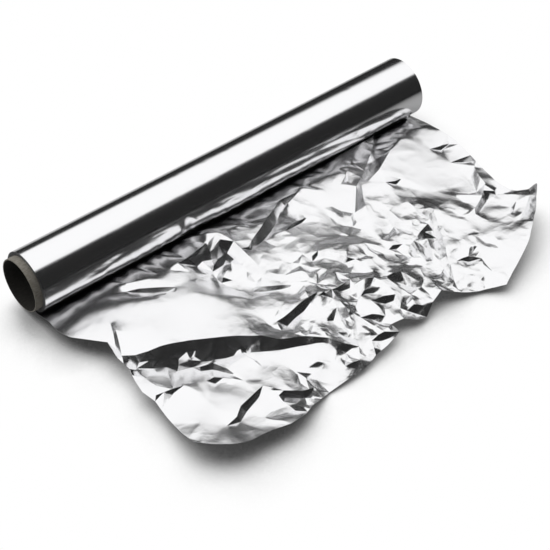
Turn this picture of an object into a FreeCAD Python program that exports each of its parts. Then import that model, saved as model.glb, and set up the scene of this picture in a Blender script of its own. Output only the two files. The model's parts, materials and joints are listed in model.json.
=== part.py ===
import FreeCAD, Part
import math
import os
import random

os.makedirs("parts", exist_ok=True)

# Aluminium foil roll, laid on its side with a length of crumpled foil pulled out.
# The roll's axis runs along X, the loose foil goes out towards -Y and z = 0 is the table.
# All sizes are in millimetres.

# The roll. The core stands out at the left end and is level with the foil at the right end.
FOIL_WIDTH = 300.0
CORE_DIAMETER = 34.5
CORE_WALL = 1.0
CORE_OVERHANG = 5.0
WOUND_THICKNESS = 2.5
WINDING_FIT = 0.05

# The edges of the turns, seen on both end faces as one shallow spiral
HALF_TURNS = 4
GAP_SHARE = 0.35
TURN_GAP_DEPTH = 0.5

# The loose foil. Its thickness here is what a solid can carry, not the real 0.015.
SHEET_THICKNESS = 0.4
FLAT_LEAD = 10.0
FLAT_SPOT = 1.5
NODE_SPACING = 7.4
FOLD_STEP = 9.0
CLEAR_OF_FOLD = 1.5
RUN_PER_DROP = 0.8
LEAST_DROP = 1.0
FRONT_LEFT = (-0.64, -0.77)
FOLD_STRAY = 0.4
CREASE_HEIGHT = 0.6
LONG_SIDE = 7.6
SMALL_FOLD = 0.05
SEED = 11

CORE_RADIUS = CORE_DIAMETER / 2
BORE_RADIUS = CORE_RADIUS - CORE_WALL
ROLL_RADIUS = CORE_RADIUS + WOUND_THICKNESS
TURN_PITCH = 2 * WOUND_THICKNESS / (HALF_TURNS + 4)
TURN_GAP = GAP_SHARE * TURN_PITCH
CORE_LENGTH = FOIL_WIDTH + CORE_OVERHANG
HALF_WIDTH = FOIL_WIDTH / 2

# Edge of the loose foil as (x, y, height), from the roll's left end round to its right end,
# drawn for foil 300 wide. The two ends of the edge are the corners of the flat lead.
SHEET_EDGE = [
    (-150, -21, 3), (-152, -32, 5), (-150, -43, 7), (-137, -62, 9), (-140, -76, 10), (-139, -86, 7),
    (-142, -95, 7), (-144, -105, 8), (-142, -114, 6), (-144, -128, 5), (-146, -144, 8),
    (-146, -155, 11), (-140, -163, 12), (-130, -171, 12), (-122, -173, 10), (-110, -173, 9),
    (-96, -176, 8), (-84, -175, 7), (-75, -171, 5), (-60, -167, 0), (-46, -167, 3), (-32, -167, 1),
    (-22, -164, 4), (-12, -163, 4), (0, -160, 5), (0, -153, 7), (9, -154, 6), (16, -159, 5),
    (23, -159, 2), (33, -154, 6), (41, -152, 8), (52, -158, 3), (66, -164, 1), (77, -171, 5),
    (98, -162, 7), (111, -156, 10), (132, -141, 12), (150, -125, 16), (146, -122, 10), (141, -117, 7),
    (139, -109, 7), (138, -101, 8), (140, -87, 8), (142, -74, 10), (145, -56, 11), (145, -37, 10),
]

# Folds as lines of (x, y, height, drop): the crest of a fold, and how far the foil falls on the
# side that faces the sheet's front left corner.
FOLDS = {
    "long step": [(-138, -78, 10, 3), (-132, -82, 11, 6), (-125, -85, 12, 8), (-117, -87, 13, 10),
                  (-110, -90, 13, 10), (-102, -93, 12, 8), (-97, -97, 13, 10), (-85, -104, 13, 10),
                  (-77, -110, 13, 8), (-69, -117, 13, 7), (-60, -125, 11, 5), (-48, -132, 11, 4),
                  (-39, -141, 11, 2)],
    "step ledge": [(-115, -98, 3, 2), (-107, -101, 5, 3), (-95, -105, 5, 3), (-87, -109, 5, 2),
                   (-77, -114, 5, 2)],
    "left corner": [(-130, -61, 13, 2), (-134, -70, 11, 3), (-137, -76, 9, 2)],
    "corner crease": [(-129, -62, 13, 1), (-121, -72, 13, 1), (-109, -89, 14, 1)],
    "left lobe facet": [(-136, -80, 6, 1), (-136, -89, 7, 3), (-136, -97, 7, 2)],
    "left lobe ridge": [(-140, -112, 8, 1), (-130, -114, 8, 2), (-116, -117, 7, 1)],
    "left lobe pleats": [(-106, -108, 5, 2), (-99, -111, 6, 3), (-95, -119, 5, 2)],
    "left lobe star": [(-110, -119, 5, 1), (-106, -121, 7, 3), (-101, -123, 5, 1)],
    "slanted ridge": [(-84, -143, 8, 1), (-96, -146, 9, 3), (-109, -149, 9, 4), (-116, -154, 9, 3),
                      (-124, -155, 8, 1)],
    "edge pleat": [(-92, -156, 7, 1), (-83, -155, 8, 3), (-75, -162, 8, 3), (-67, -162, 6, 1)],
    "edge notch": [(-88, -160, 7, 1), (-84, -167, 8, 3), (-82, -174, 6, 4)],
    "tent, left facet": [(-41, -32, 17, 1), (-48, -39, 11, 5), (-55, -40, 4, 1)],
    "tent, middle facet": [(-37, -37, 20, 2), (-41, -43, 16, 6), (-46, -48, 10, 5)],
    "tent, right crease": [(-38, -41, 18, 1), (-40, -49, 14, 2), (-41, -55, 10, 1)],
    "tent foot": [(-51, -40, 6, 1), (-49, -48, 7, 3), (-41, -50, 8, 1)],
    "pinch under the tent": [(-53, -56, 4, 1), (-51, -60, 7, 3), (-47, -64, 4, 1)],
    "swept fold": [(-34, -39, 18, 5), (-32, -46, 16, 8), (-31, -59, 14, 6), (-31, -70, 12, 5),
                   (-28, -78, 11, 4), (-21, -92, 11, 2), (-15, -104, 13, 1)],
    "swept fold, foot": [(-37, -61, 8, 1), (-38, -70, 8, 3), (-38, -75, 5, 1)],
    "lens": [(-45, -80, 5, 1), (-39, -82, 8, 3), (-28, -90, 9, 3), (-21, -99, 10, 1)],
    "roll side fold": [(20, -28, 8, 3), (3, -37, 10, 6), (-13, -46, 12, 6), (-26, -53, 13, 3)],
    "star, left fold": [(-21, -112, 16, 2), (-34, -111, 13, 4), (-47, -111, 10, 5), (-56, -110, 8, 1)],
    "star, front fold": [(-14, -119, 14, 2), (-17, -133, 13, 5), (-21, -147, 9, 4)],
    "star, right fold": [(1, -119, 13, 3), (-1, -127, 10, 2)],
    "star, far right fold": [(3, -125, 11, 2), (11, -127, 11, 3), (18, -131, 10, 1)],
    "star, back fold": [(-20, -112, 16, 1), (-15, -98, 13, 2), (-11, -83, 11, 1)],
    "star, upper fold": [(-18, -114, 15, 1), (-8, -115, 14, 3), (2, -114, 13, 1)],
    "middle crease": [(-5, -56, 10, 1), (10, -51, 9, 2), (24, -51, 8, 2), (36, -50, 7, 1)],
    "gash": [(-7, -73, 11, 1), (-1, -83, 11, 3), (5, -82, 12, 3), (15, -97, 12, 4), (20, -105, 10, 1)],
    "upper crumple": [(-15, -74, 9, 1), (-11, -84, 10, 2), (-3, -95, 11, 2), (1, -103, 11, 1)],
    "right gather": [(114, -14, 2, 1), (94, -30, 5, 3), (74, -45, 9, 4)],
    "right gather, wedge": [(69, -49, 10, 3), (56, -68, 11, 8), (46, -86, 8, 1)],
    "gather, hook": [(48, -66, 7, 2), (43, -75, 7, 3), (41, -88, 7, 1)],
    "gather, left crease": [(86, -23, 5, 1), (66, -37, 8, 3), (42, -51, 7, 1)],
    "right ridge": [(68, -63, 9, 1), (65, -79, 10, 4), (64, -90, 10, 5), (65, -101, 9, 2)],
    "right ridge, lower": [(57, -111, 9, 2), (55, -118, 8, 3), (53, -126, 6, 1)],
    "parallel ridge": [(54, -101, 8, 1), (49, -114, 8, 3), (48, -125, 5, 1)],
    "cross fold": [(37, -106, 7, 1), (46, -104, 8, 3), (54, -101, 9, 1)],
    "small cross fold": [(59, -110, 8, 1), (66, -107, 9, 4), (75, -105, 9, 1)],
    "upper right facet": [(79, -82, 10, 1), (82, -89, 11, 3), (85, -96, 11, 5)],
    "curved ridge": [(86, -98, 11, 3), (81, -106, 10, 4), (76, -116, 9, 4), (65, -132, 8, 4),
                     (55, -149, 5, 2)],
    "curved ridge, inner": [(69, -108, 8, 1), (64, -119, 7, 3), (57, -129, 5, 2)],
    "low right facet": [(33, -125, 8, 1), (35, -133, 8, 4), (36, -141, 6, 1)],
    "low pleat": [(2, -133, 10, 1), (10, -135, 10, 4), (16, -139, 10, 3), (15, -145, 8, 1)],
    "low pleat, second": [(14, -145, 8, 2), (20, -151, 8, 4), (26, -154, 6, 1)],
    "front crumple": [(-43, -146, 6, 1), (-33, -149, 8, 4), (-26, -154, 6, 1)],
    "front crumple, second": [(-48, -160, 4, 1), (-38, -161, 6, 3), (-27, -162, 4, 1)],
    "front crumple, third": [(-18, -156, 7, 2), (-8, -156, 8, 4), (0, -153, 6, 1)],
    "front crumple, fourth": [(-66, -146, 5, 1), (-54, -149, 7, 3), (-46, -154, 5, 1)],
    "front crumple, fifth": [(-12, -139, 9, 2), (-5, -141, 9, 3), (1, -147, 7, 1)],
    "right lobe crease": [(144, -72, 7, 1), (134, -88, 9, 4), (128, -101, 10, 6), (120, -107, 9, 4),
                          (109, -112, 8, 3), (102, -119, 6, 1)],
    "right lobe crease, tail": [(130, -100, 9, 1), (130, -108, 8, 2), (140, -102, 6, 1)],
    "right rise": [(141, -27, 8, 0), (126, -30, 10, 0), (105, -38, 11, 0), (86, -48, 11, 0)],
    "middle rise": [(81, -28, 7, 0), (62, -28, 9, 0), (41, -28, 10, 0), (25, -34, 10, 0)],
    "left rise, inner": [(-130, -19, 5, 0), (-118, -33, 8, 0), (-101, -44, 10, 0), (-83, -55, 11, 0)],
    "ridge by the roll": [(-117, -18, 5, 0), (-100, -28, 8, 0), (-86, -35, 9, 0), (-73, -36, 10, 0),
                          (-59, -35, 10, 0)],
    "step wall": [(-131, -84, 6, 1), (-122, -91, 8, 1), (-111, -94, 7, 2), (-101, -98, 8, 1),
                  (-91, -105, 7, 1), (-79, -111, 8, 2), (-69, -120, 8, 1)],
    "right soft fold": [(119, -50, 9, 0), (134, -54, 9, 2), (148, -57, 7, 0)],
    "right soft fold, second": [(81, -59, 10, 0), (87, -62, 10, 2), (97, -63, 9, 0)],
    "right lobe swell": [(91, -86, 8, 0), (111, -78, 8, 0), (108, -95, 8, 0)],
    "flap": [(147, -125, 13, 1), (135, -131, 10, 3), (121, -138, 8, 2)],
    "flap, second": [(138, -122, 9, 1), (127, -126, 8, 2), (116, -133, 7, 1)],
    "low right crumple": [(67, -138, 6, 1), (75, -140, 7, 3), (81, -146, 6, 1)],
    "low right crumple, second": [(63, -154, 5, 1), (73, -156, 6, 2), (83, -160, 5, 1)],
    "left pinch": [(-111, -29, 6, 1), (-95, -36, 7, 2), (-84, -46, 9, 3), (-70, -62, 12, 1)],
    "left rise": [(-139, -23, 5, 0), (-132, -32, 8, 0), (-122, -39, 9, 0), (-111, -49, 11, 0),
                  (-98, -57, 12, 0), (-85, -62, 12, 0), (-72, -68, 13, 0)],
    "left plateau": [(-134, -46, 9, 0), (-113, -61, 12, 0), (-91, -75, 12, 0), (-75, -92, 12, 0)],
    "beside the roll": [(-142, -15, 2, 0), (-120, -15, 4, 0), (-40, -15, 4, 0), (40, -15, 4, 0),
                        (120, -15, 5, 0), (142, -15, 3, 0)],
}

# How strongly each area is crumpled, as (x, y, amount)
CRUMPLING = [
    (-130, -25, 0.15), (-100, -60, 0.15), (-70, -30, 0.3), (-80, -80, 0.2), (-110, -140, 0.25),
    (-110, -105, 0.25), (-60, -155, 1.0), (-40, -60, 0.9), (-40, -90, 1.0), (-20, -115, 1.4),
    (10, -60, 0.7), (20, -130, 1.4), (45, -90, 1.2), (60, -40, 0.5), (80, -130, 1.1),
    (80, -155, 0.8), (120, -50, 0.15), (105, -80, 0.25), (125, -115, 0.5), (140, -120, 0.9),
    (100, -20, 0.15), (150, -60, 0.3),
]


def vec(x, y, z):
    return FreeCAD.Vector(x, y, z)


def tube(radius, bore, length):
    """A tube round the roll's axis that ends at the right end of the foil."""
    start = vec(HALF_WIDTH - length, 0, ROLL_RADIUS)
    along = vec(1, 0, 0)
    outside = Part.makeCylinder(radius, length, start, along)
    return outside.cut(Part.makeCylinder(bore, length, start, along))


def core_tube():
    """The paperboard tube that the foil is wound on."""
    return tube(CORE_RADIUS, BORE_RADIUS, CORE_LENGTH)


def spiral_path(first_radius, x):
    """Half circles about two centres, a quarter pitch above and below the axis, that join into a spiral."""
    edges = []
    for half in range(HALF_TURNS):
        side = 1 if half % 2 == 0 else -1
        radius = first_radius + half * TURN_PITCH / 2
        centre = ROLL_RADIUS + side * TURN_PITCH / 4
        low = vec(x, 0, centre - radius)
        high = vec(x, 0, centre + radius)
        middle = vec(x, side * radius, centre)
        edges.append(Part.Arc(low, middle, high).toShape())
    return edges


def turn_gap(x, depth):
    """The narrow spiral space between the edges of the turns, sunk into one end face."""
    inner = spiral_path(CORE_RADIUS + TURN_PITCH / 2, x)
    outer = spiral_path(CORE_RADIUS + TURN_PITCH / 2 + TURN_GAP, x)
    start = Part.makeLine(inner[0].Vertexes[0].Point, outer[0].Vertexes[0].Point)
    last = -(HALF_TURNS % 2)
    end = Part.makeLine(inner[-1].Vertexes[last].Point, outer[-1].Vertexes[last].Point)
    wire = Part.Wire(Part.__sortEdges__(inner + outer + [start, end]))
    return Part.Face(wire).extrude(vec(depth, 0, 0))


def wound_foil():
    """All the turns on the core as one body, with the last turn running off flat at the bottom."""
    body = tube(ROLL_RADIUS, CORE_RADIUS + WINDING_FIT, FOIL_WIDTH)
    body = body.cut(turn_gap(-HALF_WIDTH, TURN_GAP_DEPTH))
    body = body.cut(turn_gap(HALF_WIDTH, -TURN_GAP_DEPTH))
    lead = Part.makeBox(FOIL_WIDTH, FLAT_LEAD + FLAT_SPOT, SHEET_THICKNESS, vec(-HALF_WIDTH, -FLAT_LEAD, 0))
    return body.fuse(lead)


def distance(a, b):
    return math.hypot(a[0] - b[0], a[1] - b[1])


def along_line(points, step):
    """The given points with others put between them, no further apart than step."""
    line = [points[0]]
    for a, b in zip(points, points[1:]):
        parts = max(1, math.ceil(distance(a, b) / step))
        for i in range(1, parts + 1):
            line.append(tuple(a[k] + (b[k] - a[k]) * i / parts for k in range(3)))
    return line


def inside(edge, x, y):
    """Whether a place lies within the closed line edge."""
    hit = False
    for a, b in zip(edge, edge[1:] + edge[:1]):
        if (a[1] > y) != (b[1] > y):
            if x < a[0] + (y - a[1]) * (b[0] - a[0]) / (b[1] - a[1]):
                hit = not hit
    return hit


def blend(samples, x, y, power):
    """A value between scattered samples, where the nearer ones count more."""
    total = 0.0
    weight_sum = 0.0
    for sx, sy, value in samples:
        weight = 1.0 / (math.hypot(x - sx, y - sy) + 0.5) ** power
        total += weight * value
        weight_sum += weight
    return total / weight_sum


def stretch_between(points, triangles, held):
    """Lets the height of each point that no fold holds settle to the mean of its neighbours."""
    heights = [p[2] for p in points]
    near = [set() for p in points]
    for a, b, c in triangles:
        near[a].update((b, c))
        near[b].update((a, c))
        near[c].update((a, b))
    for turn in range(200):
        for i, others in enumerate(near):
            if others and i not in held:
                heights[i] = sum(heights[k] for k in others) / len(others)
    return [(p[0], p[1], h) for p, h in zip(points, heights)]


def circle_of(points, tri):
    """Centre and squared radius of the circle through a triangle's corners."""
    (ax, ay), (bx, by), (cx, cy) = (points[i][:2] for i in tri)
    bx, by, cx, cy = bx - ax, by - ay, cx - ax, cy - ay
    d = 2 * (bx * cy - by * cx)
    if abs(d) < 1e-12:
        return None
    ux = (cy * (bx * bx + by * by) - by * (cx * cx + cy * cy)) / d
    uy = (bx * (cx * cx + cy * cy) - cx * (bx * bx + by * by)) / d
    return ax + ux, ay + uy, ux * ux + uy * uy


def triangulate(points):
    """Delaunay triangles over points, each turned anticlockwise seen from above."""
    count = len(points)
    far = 5 * FOIL_WIDTH
    work = list(points) + [(-far, -far, 0), (far, -far, 0), (0, far, 0)]
    first = (count, count + 1, count + 2)
    triangles = {first: circle_of(work, first)}
    for index in range(count):
        x, y = work[index][:2]
        broken = [t for t, (cx, cy, r2) in triangles.items() if (x - cx) ** 2 + (y - cy) ** 2 < r2]
        rim = {}
        for tri in broken:
            del triangles[tri]
            for a, b in ((tri[0], tri[1]), (tri[1], tri[2]), (tri[2], tri[0])):
                if (b, a) in rim:
                    del rim[(b, a)]
                else:
                    rim[(a, b)] = True
        for a, b in rim:
            circle = circle_of(work, (a, b, index))
            if circle:
                triangles[(a, b, index)] = circle
    return [t for t in triangles if max(t) < count]


def in_width(point):
    """A place of the plan, which is drawn for foil 300 wide, on foil as wide as the roll's."""
    return tuple(value * FOIL_WIDTH / 300 for value in point)


def sheet_outline():
    """The sheet's edge as a closed line, with the straight side that joins the roll's lead."""
    left = (-HALF_WIDTH, -FLAT_LEAD, 0.0)
    right = (HALF_WIDTH, -FLAT_LEAD, 0.0)
    edge = along_line([left] + [in_width(p) for p in SHEET_EDGE] + [right], FOLD_STEP)
    joint = along_line([right, left], FOLD_STEP)
    return edge + joint[1:-1]


def foot_of(before, crest, after):
    """The foot of a fold beside a crest point, square to the crest, on its front left side."""
    x, y, z, drop = crest
    dx, dy = after[0] - before[0], after[1] - before[1]
    size = math.hypot(dx, dy)
    side = 1 if dy * FRONT_LEFT[0] - dx * FRONT_LEFT[1] > 0 else -1
    reach = side * drop * RUN_PER_DROP / size
    return x + dy * reach, y - dx * reach, max(0.0, z - drop)


def crest_and_foot(fold):
    """A fold as its crest line and, where it drops, the line along its foot."""
    ends = [fold[0]] + fold + [fold[-1]]
    feet = [foot_of(ends[i], crest, ends[i + 2]) for i, crest in enumerate(fold) if crest[3] > LEAST_DROP]
    return [line for line in ([p[:3] for p in fold], feet) if line]


def fold_points(outline, dice):
    """Points along the outline, then along each fold's crest and foot, kept clear of each other."""
    placed = list(outline)
    for fold in FOLDS.values():
        for line in crest_and_foot([in_width(p) for p in fold]):
            for x, y, z in along_line(line, FOLD_STEP):
                stray = FOLD_STRAY * blend(CRUMPLING, x, y, 3)
                x, y = x + stray * dice.uniform(-1, 1), y + stray * dice.uniform(-1, 1)
                z = max(0.0, z + stray * dice.uniform(-1, 1))
                if inside(outline, x, y):
                    if min(distance((x, y), other) for other in placed) > CLEAR_OF_FOLD:
                        placed.append((x, y, z))
    return placed


def add_scattered(placed, outline, dice):
    """Points spread over the rest of the sheet, closer together where it is more crumpled."""
    points = list(placed)
    free_edge = min(p[1] for p in outline)
    for attempt in range(9000):
        x = dice.uniform(-HALF_WIDTH, HALF_WIDTH)
        y = dice.uniform(free_edge, -FLAT_LEAD)
        if inside(outline, x, y):
            room = NODE_SPACING / min(1.0, 0.45 + 0.55 * blend(CRUMPLING, x, y, 3))
            if min(distance((x, y), other) for other in points) > room:
                points.append((x, y, blend(placed, x, y, 3)))
    return points


def facets_inside(points, outline):
    """The triangles between the points that lie within the outline."""
    kept = []
    for tri in triangulate(points):
        x = sum(points[i][0] for i in tri) / 3
        y = sum(points[i][1] for i in tri) / 3
        if inside(outline, x, y):
            kept.append(tri)
    return kept


def crumple(points, free, dice):
    """Moves each free point up or down by as much as its area is crumpled."""
    moved = list(points)
    for i in free:
        x, y, z = points[i]
        push = CREASE_HEIGHT * blend(CRUMPLING, x, y, 3) * dice.uniform(-1, 1)
        moved[i] = (x, y, max(0.0, z + push))
    return moved


def side_middle(p, q, dice):
    """A new corner near the middle of a facet's side."""
    x, y, z = ((p[k] + q[k]) / 2 for k in range(3))
    if y < -FLAT_LEAD:
        reach = SMALL_FOLD * distance(p, q) * blend(CRUMPLING, x, y, 3)
        x, y = x + reach * dice.uniform(-1, 1), y + reach * dice.uniform(-1, 1)
        z = max(0.0, z + 2 * reach * dice.uniform(-1, 1))
    return x, y, z


def cut_facet(tri, mids):
    """The facets that one facet falls into, where mids has each side's new corner or None."""
    for turn in range(3):
        a, b, c = tri[turn:] + tri[:turn]
        ab, bc, ca = mids[turn:] + mids[:turn]
        if ab and bc and ca:
            return [(a, ab, ca), (ab, b, bc), (ca, bc, c), (ab, bc, ca)]
        if ab and bc:
            return [(ab, b, bc), (a, ab, bc), (a, bc, c)]
        if ab and not ca:
            return [(a, ab, c), (ab, b, c)]
    return [tri]


def split_facets(points, triangles, dice):
    """Cuts each long side in two, and the facets on both sides of it with it."""
    points = list(points)
    middle = {}
    finer = []
    for tri in triangles:
        mids = []
        for a, b in ((tri[0], tri[1]), (tri[1], tri[2]), (tri[2], tri[0])):
            key = (min(a, b), max(a, b))
            if key not in middle and distance(points[a], points[b]) > LONG_SIDE:
                middle[key] = len(points)
                points.append(side_middle(points[a], points[b], dice))
            mids.append(middle.get(key))
        finer += cut_facet(tri, mids)
    return points, finer


def closed_sheet(points, triangles):
    """A solid of even height between the facets and the same facets raised by the thickness."""
    count = len(points)
    corners = [vec(*p) for p in points]
    corners += [vec(p[0], p[1], p[2] + SHEET_THICKNESS) for p in points]
    faces = []
    sides = {}
    for a, b, c in triangles:
        faces.append((a + count, b + count, c + count))
        faces.append((c, b, a))
        for p, q in ((a, b), (b, c), (c, a)):
            if (q, p) in sides:
                del sides[(q, p)]
            else:
                sides[(p, q)] = True
    for p, q in sides:
        faces.append((p, q, q + count))
        faces.append((p, q + count, p + count))
    shape = Part.Shape()
    shape.makeShapeFromMesh((corners, faces), 0.001)
    return Part.makeSolid(shape.Shells[0] if shape.Shells else shape)


def loose_sheet():
    """The pulled-out foil: facets between sharp folds, all one skin."""
    dice = random.Random(SEED)
    outline = sheet_outline()
    placed = fold_points(outline, dice)
    points = add_scattered(placed, outline, dice)
    triangles = facets_inside(points, outline)
    held = set(range(len(placed)))
    points = stretch_between(points, triangles, held)
    points = crumple(points, range(len(placed), len(points)), dice)
    points, triangles = split_facets(points, triangles, dice)
    return closed_sheet(points, triangles)


def foil():
    """One length of foil: the wound turns and the sheet that comes off them."""
    return wound_foil().fuse(loose_sheet())


for name, shape in (("core_tube", core_tube()), ("foil", foil())):
    solid = shape.Solids[0] if len(shape.Solids) == 1 else shape
    print(name, "solids", len(shape.Solids), "faces", len(solid.Faces), "valid", solid.isValid(),
          "volume", round(solid.Volume), "box", solid.BoundBox)
    solid.exportStep("parts/" + name + ".step")
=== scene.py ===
import bpy
import bmesh
import json
import math
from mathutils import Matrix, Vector


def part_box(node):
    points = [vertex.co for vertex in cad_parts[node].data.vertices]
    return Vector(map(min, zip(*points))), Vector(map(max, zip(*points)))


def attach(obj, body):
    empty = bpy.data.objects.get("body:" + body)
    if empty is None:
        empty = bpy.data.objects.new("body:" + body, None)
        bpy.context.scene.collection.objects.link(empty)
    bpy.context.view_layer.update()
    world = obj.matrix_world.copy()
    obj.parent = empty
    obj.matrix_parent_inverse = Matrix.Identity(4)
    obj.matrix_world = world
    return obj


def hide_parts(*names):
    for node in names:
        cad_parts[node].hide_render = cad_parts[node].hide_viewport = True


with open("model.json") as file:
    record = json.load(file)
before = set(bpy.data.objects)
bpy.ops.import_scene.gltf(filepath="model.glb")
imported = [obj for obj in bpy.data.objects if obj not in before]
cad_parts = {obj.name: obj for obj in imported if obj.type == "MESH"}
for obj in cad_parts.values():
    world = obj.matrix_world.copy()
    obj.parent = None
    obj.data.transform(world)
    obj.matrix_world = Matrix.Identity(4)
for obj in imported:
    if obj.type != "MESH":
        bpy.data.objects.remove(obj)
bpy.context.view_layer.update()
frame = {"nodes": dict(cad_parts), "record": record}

# Sizes in metres, read off the frame: X along the roll, the loose foil out towards -Y, z = 0 the table.
core_low, core_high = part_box("core_tube")
foil_low, foil_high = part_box("foil")
ROLL_RADIUS = (foil_high.z - foil_low.z) / 2
CORE_RADIUS = (core_high.z - core_low.z) / 2
BORE_RADIUS = frame["record"]["mounts"][0]["dims"]["r_mm"] / 1000
HALF_WIDTH = core_high.x
CORE_START = core_low.x
FOIL_THICKNESS = 0.00012

# The strip that lies flat under the roll, and where on it the last turn touches the table
FLAT_LEAD = 0.010
TOUCH = 0.2 * FLAT_LEAD

# Which of the solid's facets are the sheet's upper side: none on the roll itself, none that look sideways
WELD = 1e-6
SAME_PLACE = 1e-5
ON_ROLL = 0.0001
LEAST_UPWARD = 0.02

# Angles of folds, in degrees. Up to SOFT_FOLD a fold is rounded and from SHARP_FOLD it is a full crease.
# From SPLIT_FOLD the shading breaks at it, and above QUIET_FOLD the easing leaves its points alone.
SOFT_FOLD = 5.0
SHARP_FOLD = 22.0
SPLIT_FOLD = 30.0
QUIET_FOLD = 30.0

# The easing between folds. On the rim it leaves out points that stand this far above or below their neighbours.
EASING_ROUNDS = 2
QUIET_RIM_RISE = 0.0015

# The oval in the middle of the sheet where folds are pressed, and by which share of their height
MIDDLE = (0.004, -0.080)
MIDDLE_REACH = (0.085, 0.055)
MIDDLE_FALL = 1.5
PRESSED = 0.45
BROAD_ROUNDS = 8

# How strongly each area of the loose foil is crumpled, as (x, y, amount) with x and y in millimetres
CRUMPLED = [
    (-130, -25, 0.0), (-100, -60, 0.0), (-70, -30, 0.15), (-80, -80, 0.05), (-110, -140, 0.1),
    (-110, -105, 0.1), (-60, -155, 0.6), (-40, -60, 0.6), (-40, -90, 0.7), (-20, -115, 1.0),
    (10, -60, 0.5), (20, -130, 1.0), (45, -90, 0.9), (60, -40, 0.35), (100, -135, 0.9),
    (80, -165, 0.7), (120, -50, 0.05), (105, -80, 0.1), (125, -115, 0.35), (140, -120, 0.6),
    (100, -20, 0.05), (150, -60, 0.15), (78, -100, 1.6), (70, -115, 2.8), (63, -129, 3.4),
    (57, -143, 3.4), (64, -156, 2.6), (-31, -136, 2.2), (-42, -146, 2.0), (-10, -148, 1.8),
]
CRUMPLE_CORE = 0.002
BEND_LEVELS = 2

# The roll's mesh
ROLL_STEPS_ALONG = 260
ROLL_STEPS_AROUND = 180
SEAT_GAP = 0.00003
END_FACING = 0.7
CORE_STEPS_AROUND = 160
CORE_LIP = 0.00025
CORE_LIP_STEPS = 4
SHARP_EDGE = 40

# Small dents in the roll's outer turn: x in millimetres, degrees from the top towards the viewer, depth in
# millimetres. Each is DENT_SIZE across from its middle, and longer along the roll by DENT_STRETCH.
DENTS = [
    (3, -9, 0.04), (-15, -7, 0.05), (-36, -9, 0.04), (24, 36, 0.03), (-18, 34, 0.04), (-48, 36, 0.03),
    (102, -6, 0.06), (-90, 33, 0.02), (58, 34, 0.03),
]
DENT_SIZE = 0.0016
DENT_STRETCH = 1.6
DENT_END = 3

# The edges of the turns, which stand in the shallow recess at each end of the roll
TURNS = 13
TURN_EDGE_DEPTH = 0.0005
INNER_GAP = 0.00015
OUTER_GAP = 0.00025
TURN_THICKNESS = 0.00009
TURN_UNEVENNESS = 0.0006
TURN_STEPS = 72
TURN_WANDER = 130.0
TURN_MIDDLE = 0.85
TURN_STAND_OUT = 0.8

ALUMINIUM = (0.91, 0.91, 0.92, 1)
MIDDLE_VALUE = 0.5


def new_object(name, mesh):
    piece = bpy.data.objects.new(name, mesh)
    bpy.context.scene.collection.objects.link(piece)
    return piece


# Node trees

def add(tree, kind, **values):
    """A new node, with properties and input values set by name."""
    node = tree.nodes.new(kind)
    for key, value in values.items():
        if hasattr(node, key):
            setattr(node, key, value)
        else:
            node.inputs[key].default_value = value
    return node


def link(tree, start, output, end, into):
    tree.links.new(start.outputs[output], end.inputs[into])


def maths(tree, operation, a, b=None):
    """A calculation with sockets or numbers, given as (node, output) or as a value."""
    node = add(tree, "ShaderNodeMath", operation=operation)
    for index, value in enumerate((a, b)):
        if isinstance(value, tuple):
            link(tree, *value, node, index)
        elif value is not None:
            node.inputs[index].default_value = value
    return node, "Value"


def ranged(tree, source, starts=(0.0, 1.0), ends=(0.0, 1.0), kind="LINEAR"):
    """A value carried over from one range to another."""
    node = add(tree, "ShaderNodeMapRange", interpolation_type=kind)
    for label, value in zip(("From Min", "From Max", "To Min", "To Max"), starts + ends):
        node.inputs[label].default_value = value
    link(tree, *source, node, "Value")
    return node, "Result"


# Materials

def node_material(name):
    material = bpy.data.materials.new(name)
    material.use_nodes = True
    tree = material.node_tree
    return material, tree, tree.nodes["Principled BSDF"]


def bare_material(name):
    """A material with nothing but its output, for the stage."""
    material = bpy.data.materials.new(name)
    material.use_nodes = True
    tree = material.node_tree
    tree.nodes.clear()
    return material, tree, add(tree, "ShaderNodeOutputMaterial")


def stretched_coords(tree, scale):
    place = add(tree, "ShaderNodeTexCoord")
    mapping = add(tree, "ShaderNodeMapping", Scale=scale)
    link(tree, place, "Object", mapping, "Vector")
    return mapping


def noise_on(tree, scale, detail):
    place = stretched_coords(tree, scale)
    texture = add(tree, "ShaderNodeTexNoise", Scale=1.0, Detail=detail)
    link(tree, place, "Vector", texture, "Vector")
    return texture


def bumped(tree, shader, height, strength, distance):
    bump = add(tree, "ShaderNodeBump", Strength=strength, Distance=distance)
    link(tree, *height, bump, "Height")
    link(tree, bump, "Normal", shader, "Normal")


def varied_gloss(tree, shader, texture, low, high):
    link(tree, *ranged(tree, (texture, "Fac"), ends=(low, high)), shader, "Roughness")


def toned(tree, texture, dark, pale, positions=(0.0, 1.0)):
    """A colour from dark to pale, as the texture's value goes from one position to the other."""
    tone = add(tree, "ShaderNodeValToRGB")
    for element, position, color in zip(tone.color_ramp.elements, positions, (dark, pale)):
        element.position = position
        element.color = color
    link(tree, texture, "Fac", tone, "Fac")
    return tone


def bright_foil():
    """The outer, mirror-bright side with faint lines from the rolling mill."""
    material, tree, shader = node_material("bright foil side")
    shader.inputs["Base Color"].default_value = ALUMINIUM
    shader.inputs["Metallic"].default_value = 1.0
    lines = noise_on(tree, scale=(60, 900, 900), detail=3.0)
    varied_gloss(tree, shader, lines, low=0.12, high=0.2)
    ripple = noise_on(tree, scale=(9, 45, 45), detail=3.0)
    bumped(tree, shader, (ripple, "Fac"), strength=0.35, distance=0.0005)
    return material


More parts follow.
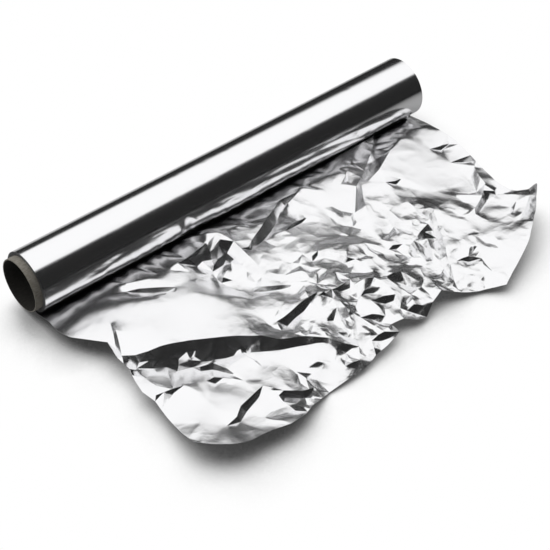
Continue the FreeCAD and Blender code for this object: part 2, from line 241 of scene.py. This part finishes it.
def turn_edge_painted_shade_foil():
    """The cut edges of the turns, dull, and dark as painted shade for the light lost in the gaps between them.
    """
    material, tree, shader = node_material("edges of the turns")
    shader.inputs["Metallic"].default_value = 1.0
    grain = noise_on(tree, scale=(900, 500, 500), detail=3.0)
    # Painted shade: the colour stays dark for the light lost in the gaps between the turns, and the grain
    # varies it at random.
    tone = toned(tree, grain, dark=(0.10, 0.10, 0.10, 1), pale=(0.32, 0.32, 0.33, 1))
    link(tree, tone, "Color", shader, "Base Color")
    varied_gloss(tree, shader, grain, low=0.35, high=0.6)
    bumped(tree, shader, (grain, "Fac"), strength=0.3, distance=0.0002)
    return material


def ridge_heights(tree, scale, detail):
    """Long winding ridges with soft sides: the places where a cloud pattern crosses its middle value."""
    cloud = noise_on(tree, (scale, scale, scale * 0.5), detail)
    off_middle = maths(tree, "ABSOLUTE", maths(tree, "SUBTRACT", (cloud, "Fac"), MIDDLE_VALUE))
    return maths(tree, "MULTIPLY", off_middle, -1.0)


def facet_heights(tree, scale):
    """Flat facets between sharp folds, each cell with its own steepness up or down."""
    place = stretched_coords(tree, (scale, scale, scale * 0.4))
    edge = add(tree, "ShaderNodeTexVoronoi", feature="DISTANCE_TO_EDGE", Scale=1.0)
    cell = add(tree, "ShaderNodeTexVoronoi", feature="F1", Scale=1.0)
    link(tree, place, "Vector", edge, "Vector")
    link(tree, place, "Vector", cell, "Vector")
    parts = add(tree, "ShaderNodeSeparateColor")
    link(tree, cell, "Color", parts, "Color")
    steepness = maths(tree, "SUBTRACT", (parts, "Red"), MIDDLE_VALUE)
    return maths(tree, "MULTIPLY", (edge, "Distance"), steepness)


def satin_foil():
    """The inner, satin side that the loose foil shows on top, with fine crumpling."""
    fine_share = 0.4
    facet_share = 0.16
    least_crumpling = 0.2
    material, tree, shader = node_material("satin foil side")
    shader.inputs["Base Color"].default_value = ALUMINIUM
    shader.inputs["Metallic"].default_value = 1.0
    haze = noise_on(tree, scale=(120, 120, 120), detail=4.0)
    varied_gloss(tree, shader, haze, low=0.19, high=0.27)
    ridges = maths(tree, "ADD", ridge_heights(tree, scale=55, detail=1.0),
                   maths(tree, "MULTIPLY", ridge_heights(tree, scale=130, detail=0.0), fine_share))
    facets = maths(tree, "MULTIPLY", facet_heights(tree, scale=340), facet_share)
    crumpling = add(tree, "ShaderNodeAttribute", attribute_name="crumpling")
    amount = maths(tree, "ADD", (crumpling, "Fac"), least_crumpling)
    heights = maths(tree, "MULTIPLY", maths(tree, "ADD", ridges, facets), amount)
    bumped(tree, shader, heights, strength=1.0, distance=0.0009)
    return material


def paperboard():
    """Grey-brown tube board with fibres and the spiral joint between its plies, and painted shade that darkens
    the inside of the bore.
    """
    joint_pitch = 0.07
    joint_share = 0.008
    joint_shade = 0.5
    inside_painted_shade = 0.9
    inside_from = 0.0003
    material, tree, shader = node_material("core board")
    fibres = noise_on(tree, scale=(400, 1500, 1500), detail=6.0)
    tone = toned(tree, fibres, dark=(0.20, 0.185, 0.155, 1), pale=(0.38, 0.355, 0.31, 1), positions=(0.3, 0.75))
    place = add(tree, "ShaderNodeTexCoord")
    parts = add(tree, "ShaderNodeSeparateXYZ")
    link(tree, place, "Object", parts, "Vector")
    up = maths(tree, "SUBTRACT", (parts, "Z"), ROLL_RADIUS)
    angle = maths(tree, "ARCTAN2", (parts, "Y"), up)
    turns = maths(tree, "ADD", maths(tree, "DIVIDE", (parts, "X"), joint_pitch),
                  maths(tree, "DIVIDE", angle, 2 * math.pi))
    joint = maths(tree, "LESS_THAN", maths(tree, "FRACT", turns), joint_share)
    radius = maths(tree, "SQRT", maths(tree, "ADD", maths(tree, "MULTIPLY", (parts, "Y"), (parts, "Y")),
                                       maths(tree, "MULTIPLY", up, up)))
    # Painted shade: the bore's inside and its inner lips are darkened for the shade in the tube.
    bore_painted_shade_mask = maths(tree, "LESS_THAN", radius, BORE_RADIUS + inside_from)
    # The darkening is the larger of the board's own dark spiral joint and the painted shade in the bore.
    shade = maths(tree, "MAXIMUM", maths(tree, "MULTIPLY", joint, joint_shade),
                  maths(tree, "MULTIPLY", bore_painted_shade_mask, inside_painted_shade))
    darker = add(tree, "ShaderNodeVectorMath", operation="SCALE")
    link(tree, tone, "Color", darker, 0)
    link(tree, *maths(tree, "SUBTRACT", 1.0, shade), darker, "Scale")
    link(tree, darker, "Vector", shader, "Base Color")
    shader.inputs["Roughness"].default_value = 0.85
    bumped(tree, shader, (fibres, "Fac"), strength=0.4, distance=0.0003)
    return material


# The loose foil

def upper_skin():
    """The upper facets of the loose part of the CAD foil, merged into one open skin."""
    skin = bmesh.new()
    skin.from_mesh(frame["nodes"]["foil"].data)
    bmesh.ops.remove_doubles(skin, verts=skin.verts, dist=WELD)
    skin.normal_update()
    unwanted = []
    for face in skin.faces:
        far = max(math.hypot(v.co.y, v.co.z - ROLL_RADIUS) for v in face.verts)
        on_roll = far < ROLL_RADIUS + ON_ROLL
        if on_roll or face.normal.z < LEAST_UPWARD or face.calc_center_median().y > -FLAT_LEAD:
            unwanted.append(face)
    bmesh.ops.delete(skin, geom=unwanted, context="FACES")
    return skin


def eased_neighbours(vert):
    """The points whose mean height a point is drawn towards, none where the foil is to stay as it is."""
    if not vert.is_boundary:
        sharpest = max(abs(e.calc_face_angle_signed(0.0)) for e in vert.link_edges)
        return [] if sharpest > math.radians(QUIET_FOLD) else [e.other_vert(vert) for e in vert.link_edges]
    if vert.co.y > -2 * FLAT_LEAD:
        return []
    along = [e.other_vert(vert) for e in vert.link_edges if e.is_boundary]
    rise = vert.co.z - sum(v.co.z for v in along) / len(along)
    return along if abs(rise) < QUIET_RIM_RISE else []


def ease_between_folds(skin):
    """Evens out the small slopes between folds, so that the foil lies in larger, flatter facets."""
    for _ in range(EASING_ROUNDS):
        eased = {}
        for vert in skin.verts:
            around = eased_neighbours(vert)
            if around:
                eased[vert] = (vert.co.z + sum(v.co.z for v in around) / len(around)) / 2
        for vert, height in eased.items():
            vert.co.z = height


def lower_middle_folds(skin):
    """Presses the folds in the middle of the sheet partly flat, about the sheet's broad shape there."""
    broad = {v: v.co.z for v in skin.verts}
    for _ in range(BROAD_ROUNDS):
        broad = {v: broad[v] if v.is_boundary else
                 sum(broad[e.other_vert(v)] for e in v.link_edges) / len(v.link_edges) for v in skin.verts}
    for vert in skin.verts:
        across = (vert.co.x - MIDDLE[0]) / MIDDLE_REACH[0]
        deep = (vert.co.y - MIDDLE[1]) / MIDDLE_REACH[1]
        share = PRESSED * min(1.0, max(0.0, MIDDLE_FALL - MIDDLE_FALL * math.hypot(across, deep)))
        vert.co.z += share * (broad[vert] - vert.co.z)


def close_under_roll(skin):
    """Carries the skin on from the flat lead to where the last turn leaves the roll."""
    rim = [e for e in skin.edges
           if e.is_boundary and all(abs(v.co.y + FLAT_LEAD) < SAME_PLACE for v in e.verts)]
    grown = bmesh.ops.extrude_edge_only(skin, edges=rim)["geom"]
    for item in grown:
        if isinstance(item, bmesh.types.BMVert):
            item.co.y = -TOUCH
    skin.normal_update()
    for face in skin.faces:
        if face.normal.z < 0:
            face.normal_flip()


def mark_crumpling(skin):
    """Stores at each corner how strongly the foil is crumpled there."""
    layer = skin.verts.layers.float.new("crumpling")
    for vert in skin.verts:
        total = 0.0
        weights = 0.0
        for x, y, amount in CRUMPLED:
            away = math.hypot(vert.co.x - x / 1000, vert.co.y - y / 1000)
            weight = 1 / (away + CRUMPLE_CORE) ** 3
            total += weight * amount
            weights += weight
        vert[layer] = total / weights


def mark_creases(skin):
    """Sharp folds and the rim keep an edge and shallow folds are rounded, as their angle says."""
    crease = skin.edges.layers.float.new("crease_edge")
    for edge in skin.edges:
        if len(edge.link_faces) == 2:
            angle = math.degrees(edge.calc_face_angle(0.0))
            edge[crease] = min(1.0, max(0.0, (angle - SOFT_FOLD) / (SHARP_FOLD - SOFT_FOLD)))
            edge.smooth = angle < SPLIT_FOLD
        else:
            edge.smooth = False


def loose_foil(top, under):
    """The crumpled sheet, and the area of its upper side in front of the roll."""
    skin = upper_skin()
    ease_between_folds(skin)
    lower_middle_folds(skin)
    area = sum(f.calc_area() for f in skin.faces)
    close_under_roll(skin)
    mark_crumpling(skin)
    for face in skin.faces:
        face.smooth = True
    mark_creases(skin)
    mesh = bpy.data.meshes.new("loose_foil")
    skin.to_mesh(mesh)
    skin.free()
    piece = new_object("loose_foil", mesh)
    mesh.materials.append(top)
    mesh.materials.append(under)
    round_off = piece.modifiers.new("soft bends", "SUBSURF")
    round_off.levels = BEND_LEVELS
    round_off.render_levels = BEND_LEVELS
    round_off.boundary_smooth = "PRESERVE_CORNERS"
    thick = piece.modifiers.new("thickness", "SOLIDIFY")
    thick.thickness = FOIL_THICKNESS
    thick.offset = -1
    thick.material_offset = 1
    thick.material_offset_rim = 0
    return piece, area


# The roll

def turned(name, profile, around, pressed_in=None):
    """A closed outline of (x, radius) turned round the roll's axis."""
    shape = bmesh.new()
    rings = []
    for x, r in profile:
        ring = []
        for j in range(around):
            a = 2 * math.pi * j / around
            out = r - (pressed_in(x, r, math.degrees(a)) if pressed_in else 0.0)
            ring.append(shape.verts.new((x, -out * math.sin(a), ROLL_RADIUS + out * math.cos(a))))
        rings.append(ring)
    for r0, r1 in zip(rings, rings[1:] + rings[:1]):
        for j in range(around):
            k = (j + 1) % around
            shape.faces.new((r0[j], r0[k], r1[k], r1[j]))
    bmesh.ops.recalc_face_normals(shape, faces=shape.faces)
    mesh = bpy.data.meshes.new(name)
    shape.to_mesh(mesh)
    shape.free()
    mesh.set_sharp_from_angle(angle=math.radians(SHARP_EDGE))
    return mesh


def dented(x, r, angle):
    """How deep the outer turn is pressed in at a place."""
    if r < ROLL_RADIUS - WELD:
        return 0.0
    depth = 0.0
    for dent_x, dent_angle, amount in DENTS:
        off = (angle - dent_angle + 180) % 360 - 180
        reach = math.hypot((x - dent_x / 1000) / DENT_STRETCH, math.radians(off) * r) / DENT_SIZE
        if reach < DENT_END:
            depth += amount / 1000 * math.exp(-reach * reach)
    return depth


def wound_foil(bright, edges):
    """The wound turns as one body. Its end faces lie behind the edges of the turns."""
    back = HALF_WIDTH - TURN_EDGE_DEPTH
    lip = ROLL_RADIUS - FOIL_THICKNESS
    seat = CORE_RADIUS + SEAT_GAP
    profile = [(-HALF_WIDTH + 2 * HALF_WIDTH * i / ROLL_STEPS_ALONG, ROLL_RADIUS)
               for i in range(ROLL_STEPS_ALONG + 1)]
    profile += [(HALF_WIDTH, lip), (back, lip), (back, seat), (-back, seat), (-back, lip), (-HALF_WIDTH, lip)]
    mesh = turned("wound_foil", profile, ROLL_STEPS_AROUND, dented)
    mesh.materials.append(bright)
    mesh.materials.append(edges)
    for face in mesh.polygons:
        # The end faces behind the turn edges take the dark edge material, as painted shade in the recess.
        end = abs(face.normal.x) > END_FACING
        face.material_index = 1 if end else 0
        face.use_smooth = not end
    return new_object("wound_foil", mesh)


def core(board):
    """The paperboard tube with slightly rounded lips."""
    profile = []
    for end, r, first, side in ((CORE_START, CORE_RADIUS, 180, 1), (HALF_WIDTH, CORE_RADIUS, 90, 1),
                                (HALF_WIDTH, BORE_RADIUS, 0, -1), (CORE_START, BORE_RADIUS, -90, -1)):
        middle_x = end + CORE_LIP if end < 0 else end - CORE_LIP
        middle_r = r - side * CORE_LIP
        for step in range(CORE_LIP_STEPS):
            a = math.radians(first - 90 / (CORE_LIP_STEPS - 1) * step)
            profile.append((middle_x + CORE_LIP * math.cos(a), middle_r + CORE_LIP * math.sin(a)))
    mesh = turned("core", profile, CORE_STEPS_AROUND)
    mesh.polygons.foreach_set("use_smooth", [True] * len(mesh.polygons))
    mesh.materials.append(board)
    return new_object("core", mesh)


def spiral_tree(material):
    """Node tree for the edges of the turns: a narrow strip that follows a slightly uneven spiral."""
    tree = bpy.data.node_groups.new("edges of the turns", "GeometryNodeTree")
    sockets = {}
    for label in ("Turns", "Inner Radius", "Outer Radius", "Stand Out", "Foil Thickness", "Unevenness"):
        sockets[label] = tree.interface.new_socket(label, in_out="INPUT", socket_type="NodeSocketFloat")
    tree.interface.new_socket("Geometry", in_out="OUTPUT", socket_type="NodeSocketGeometry")
    given = add(tree, "NodeGroupInput")
    result = add(tree, "NodeGroupOutput")
    spiral = add(tree, "GeometryNodeCurveSpiral", Resolution=TURN_STEPS, Height=0.0)
    link(tree, given, "Turns", spiral, "Rotations")
    link(tree, given, "Inner Radius", spiral, "Start Radius")
    link(tree, given, "Outer Radius", spiral, "End Radius")
    place = add(tree, "GeometryNodeInputPosition")
    wander = add(tree, "ShaderNodeTexNoise", Scale=TURN_WANDER)
    link(tree, place, "Position", wander, "Vector")
    centred = maths(tree, "SUBTRACT", (wander, 0), MIDDLE_VALUE)
    offset = add(tree, "ShaderNodeCombineXYZ")
    link(tree, *maths(tree, "MULTIPLY", centred, (given, "Unevenness")), offset, "Z")
    uneven = add(tree, "GeometryNodeSetPosition")
    link(tree, spiral, "Curve", uneven, "Geometry")
    link(tree, offset, "Vector", uneven, "Offset")
    strip = add(tree, "GeometryNodeCurvePrimitiveQuadrilateral")
    link(tree, given, "Foil Thickness", strip, "Width")
    link(tree, given, "Stand Out", strip, "Height")
    sweep = add(tree, "GeometryNodeCurveToMesh")
    sweep.inputs["Fill Caps"].default_value = True
    link(tree, uneven, "Geometry", sweep, "Curve")
    link(tree, strip, "Curve", sweep, "Profile Curve")
    joined = add(tree, "GeometryNodeRealizeInstances")
    link(tree, sweep, "Mesh", joined, "Geometry")
    painted = add(tree, "GeometryNodeSetMaterial", Material=material)
    link(tree, joined, "Geometry", painted, "Geometry")
    link(tree, painted, "Geometry", result, "Geometry")
    return tree, sockets


def turn_edges(name, side, tree, sockets):
    """The spiral edges at one end of the roll, as an object of their own."""
    maker = new_object(name + "_maker", bpy.data.meshes.new(name + "_maker"))
    nodes = maker.modifiers.new("spiral", "NODES")
    nodes.node_group = tree
    values = {"Turns": float(TURNS), "Inner Radius": CORE_RADIUS + INNER_GAP,
              "Outer Radius": ROLL_RADIUS - OUTER_GAP, "Stand Out": 2 * TURN_EDGE_DEPTH,
              "Foil Thickness": TURN_THICKNESS, "Unevenness": TURN_UNEVENNESS}
    for label, value in values.items():
        nodes[sockets[label].identifier] = value
    maker.update_tag()
    graph = bpy.context.evaluated_depsgraph_get()
    mesh = bpy.data.meshes.new_from_object(maker.evaluated_get(graph))
    maker.modifiers.remove(nodes)
    bpy.data.objects.remove(maker)
    mesh.name = name
    middle = side * (HALF_WIDTH - TURN_MIDDLE * TURN_EDGE_DEPTH)
    for vert in mesh.vertices:
        x, y, z = vert.co
        out = min(TURN_EDGE_DEPTH * TURN_STAND_OUT, z)
        vert.co = (middle + side * out, -x * side, ROLL_RADIUS + y)
    return new_object(name, mesh)


bright = bright_foil()
satin = satin_foil()
cut_edges_painted_shade = turn_edge_painted_shade_foil()
board = paperboard()

sheet, sheet_area = loose_foil(satin, bright)
winding = wound_foil(bright, cut_edges_painted_shade)
spiral, spiral_inputs = spiral_tree(cut_edges_painted_shade)
near_edges = turn_edges("near_turn_edges", -1, spiral, spiral_inputs)
far_edges = turn_edges("far_turn_edges", 1, spiral, spiral_inputs)
tube = core(board)

for piece in (sheet, winding, near_edges, far_edges):
    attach(piece, "root")
    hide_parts("foil")
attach(tube, "root")
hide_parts("core_tube")


# The camera, where the roll's outlines and end ellipses put it, with angles in degrees and lens in millimetres

CAMERA_PLACE = Vector((-0.4925, -0.6390, 0.6875))
CAMERA_AZIMUTH = -39.77
CAMERA_ELEVATION = 42.99
CAMERA_LENS = 109.01
CAMERA_SENSOR = 36

camera_data = bpy.data.cameras.new("camera")
camera_data.lens = CAMERA_LENS
camera_data.sensor_width = CAMERA_SENSOR
camera = bpy.data.objects.new("camera", camera_data)
bpy.context.scene.collection.objects.link(camera)
camera.location = CAMERA_PLACE
camera.rotation_euler = (math.radians(90 - CAMERA_ELEVATION), 0, math.radians(CAMERA_AZIMUTH))
bpy.context.scene.camera = camera


# The floor is white and keeps the shadow under the foil. What the foil mirrors of it fades out with distance.

FLOOR_REACH = 4.0
FLOOR_FADE = (0.02, 0.34)
FLOOR_MIRRORED = (0.85, 0.03)
FLOOR_OVAL = (0.62, 1, 0)
FLOOR_OVAL_SHIFT = (0, -0.03, 0)
TOWARDS_LIGHT = Vector((0.42, 0.86, 0.27))
SHADOW_LENGTH = 0.05
SHADOW_OPEN = (0.48, 0.89)
SHADOW_LEVELS = (0.06, 1.0)
SHADOW_POWER = 1.15

# The overhead soft box, with each edge given by a point on it, the way inwards and how soft it is
BOX_HEIGHT = 0.55
BOX_LEVEL = 1.06
BOX_CORNERS = [(-1.2, -0.3), (-1.2, 2.2), (-0.3, 2.2), (1.8, -0.3)]
BOX_FRONT = (Vector((0, -0.255, 0)), Vector((0, 1, 0)), 0.03)
BOX_SLANT = (Vector((0.74, 0.47, 0)), Vector((-1.286, -1, 0)), 0.2)

# How bright the room is that the foil mirrors. The camera sees it white.
ROOM_LEVEL = 0.02


def floor_material():
    """White with a shadow for the camera, and for the foil a pale patch that ends round it."""
    material, tree, out = bare_material("pale floor")
    place = stretched_coords(tree, FLOOR_OVAL)
    place.inputs["Location"].default_value = FLOOR_OVAL_SHIFT
    reach = add(tree, "ShaderNodeVectorMath", operation="LENGTH")
    link(tree, place, "Vector", reach, 0)
    mirrored = add(tree, "ShaderNodeBsdfDiffuse")
    fade = ranged(tree, (reach, "Value"), FLOOR_FADE, FLOOR_MIRRORED, "SMOOTHSTEP")
    link(tree, *fade, mirrored, "Color")
    open_sky = add(tree, "ShaderNodeAmbientOcclusion", samples=16, Distance=SHADOW_LENGTH)
    lit_from = add(tree, "ShaderNodeCombineXYZ", X=TOWARDS_LIGHT.x, Y=TOWARDS_LIGHT.y, Z=TOWARDS_LIGHT.z)
    link(tree, lit_from, "Vector", open_sky, "Normal")
    share = ranged(tree, (open_sky, "AO"), SHADOW_OPEN, SHADOW_LEVELS)
    seen = add(tree, "ShaderNodeEmission")
    link(tree, *maths(tree, "POWER", share, SHADOW_POWER), seen, "Strength")
    path = add(tree, "ShaderNodeLightPath")
    mix = add(tree, "ShaderNodeMixShader")
    link(tree, path, "Is Camera Ray", mix, "Fac")
    link(tree, mirrored, "BSDF", mix, 1)
    link(tree, seen, "Emission", mix, 2)
    link(tree, mix, "Shader", out, "Surface")
    return material


def stage_face(name, corners, material):
    mesh = bpy.data.meshes.new(name)
    mesh.from_pydata(corners, [], [tuple(range(len(corners)))])
    piece = new_object(name, mesh)
    mesh.materials.append(material)
    return piece


def edge_fade(tree, place, through, inward, width):
    """One at a distance of width inside a straight edge, none as far outside it."""
    inner = add(tree, "ShaderNodeVectorMath", operation="DOT_PRODUCT")
    link(tree, place, "Object", inner, 0)
    inner.inputs[1].default_value = inward.normalized()
    at_edge = through.dot(inward.normalized())
    return ranged(tree, (inner, "Value"), (at_edge - width, at_edge + width), kind="SMOOTHSTEP")


def soft_box():
    """A wide box overhead with a straight front edge and a slanted, softer right edge."""
    material, tree, out = bare_material("soft box cloth")
    place = add(tree, "ShaderNodeTexCoord")
    front = edge_fade(tree, place, *BOX_FRONT)
    slant = edge_fade(tree, place, *BOX_SLANT)
    cloth = add(tree, "ShaderNodeEmission")
    level = maths(tree, "MULTIPLY", maths(tree, "MULTIPLY", front, slant), BOX_LEVEL)
    link(tree, *level, cloth, "Strength")
    link(tree, cloth, "Emission", out, "Surface")
    box = stage_face("overhead soft box", [(x, y, BOX_HEIGHT) for x, y in BOX_CORNERS], material)
    box.visible_camera = False


def white_room():
    """The world: white behind everything, and almost dark in what the foil mirrors."""
    world = bpy.data.worlds.new("world")
    world.use_nodes = True
    tree = world.node_tree
    wall = tree.nodes["Background"]
    wall.inputs["Color"].default_value = (1, 1, 1, 1)
    path = add(tree, "ShaderNodeLightPath")
    level = ranged(tree, (path, "Is Camera Ray"), ends=(ROOM_LEVEL, 1.0))
    link(tree, *level, wall, "Strength")
    bpy.context.scene.world = world


floor_corners = [(x * FLOOR_REACH, y * FLOOR_REACH, 0) for x, y in ((-1, -1), (1, -1), (1, 1), (-1, 1))]
stage_face("floor", floor_corners, floor_material())
soft_box()
white_room()
bpy.context.scene.view_settings.view_transform = "Standard"
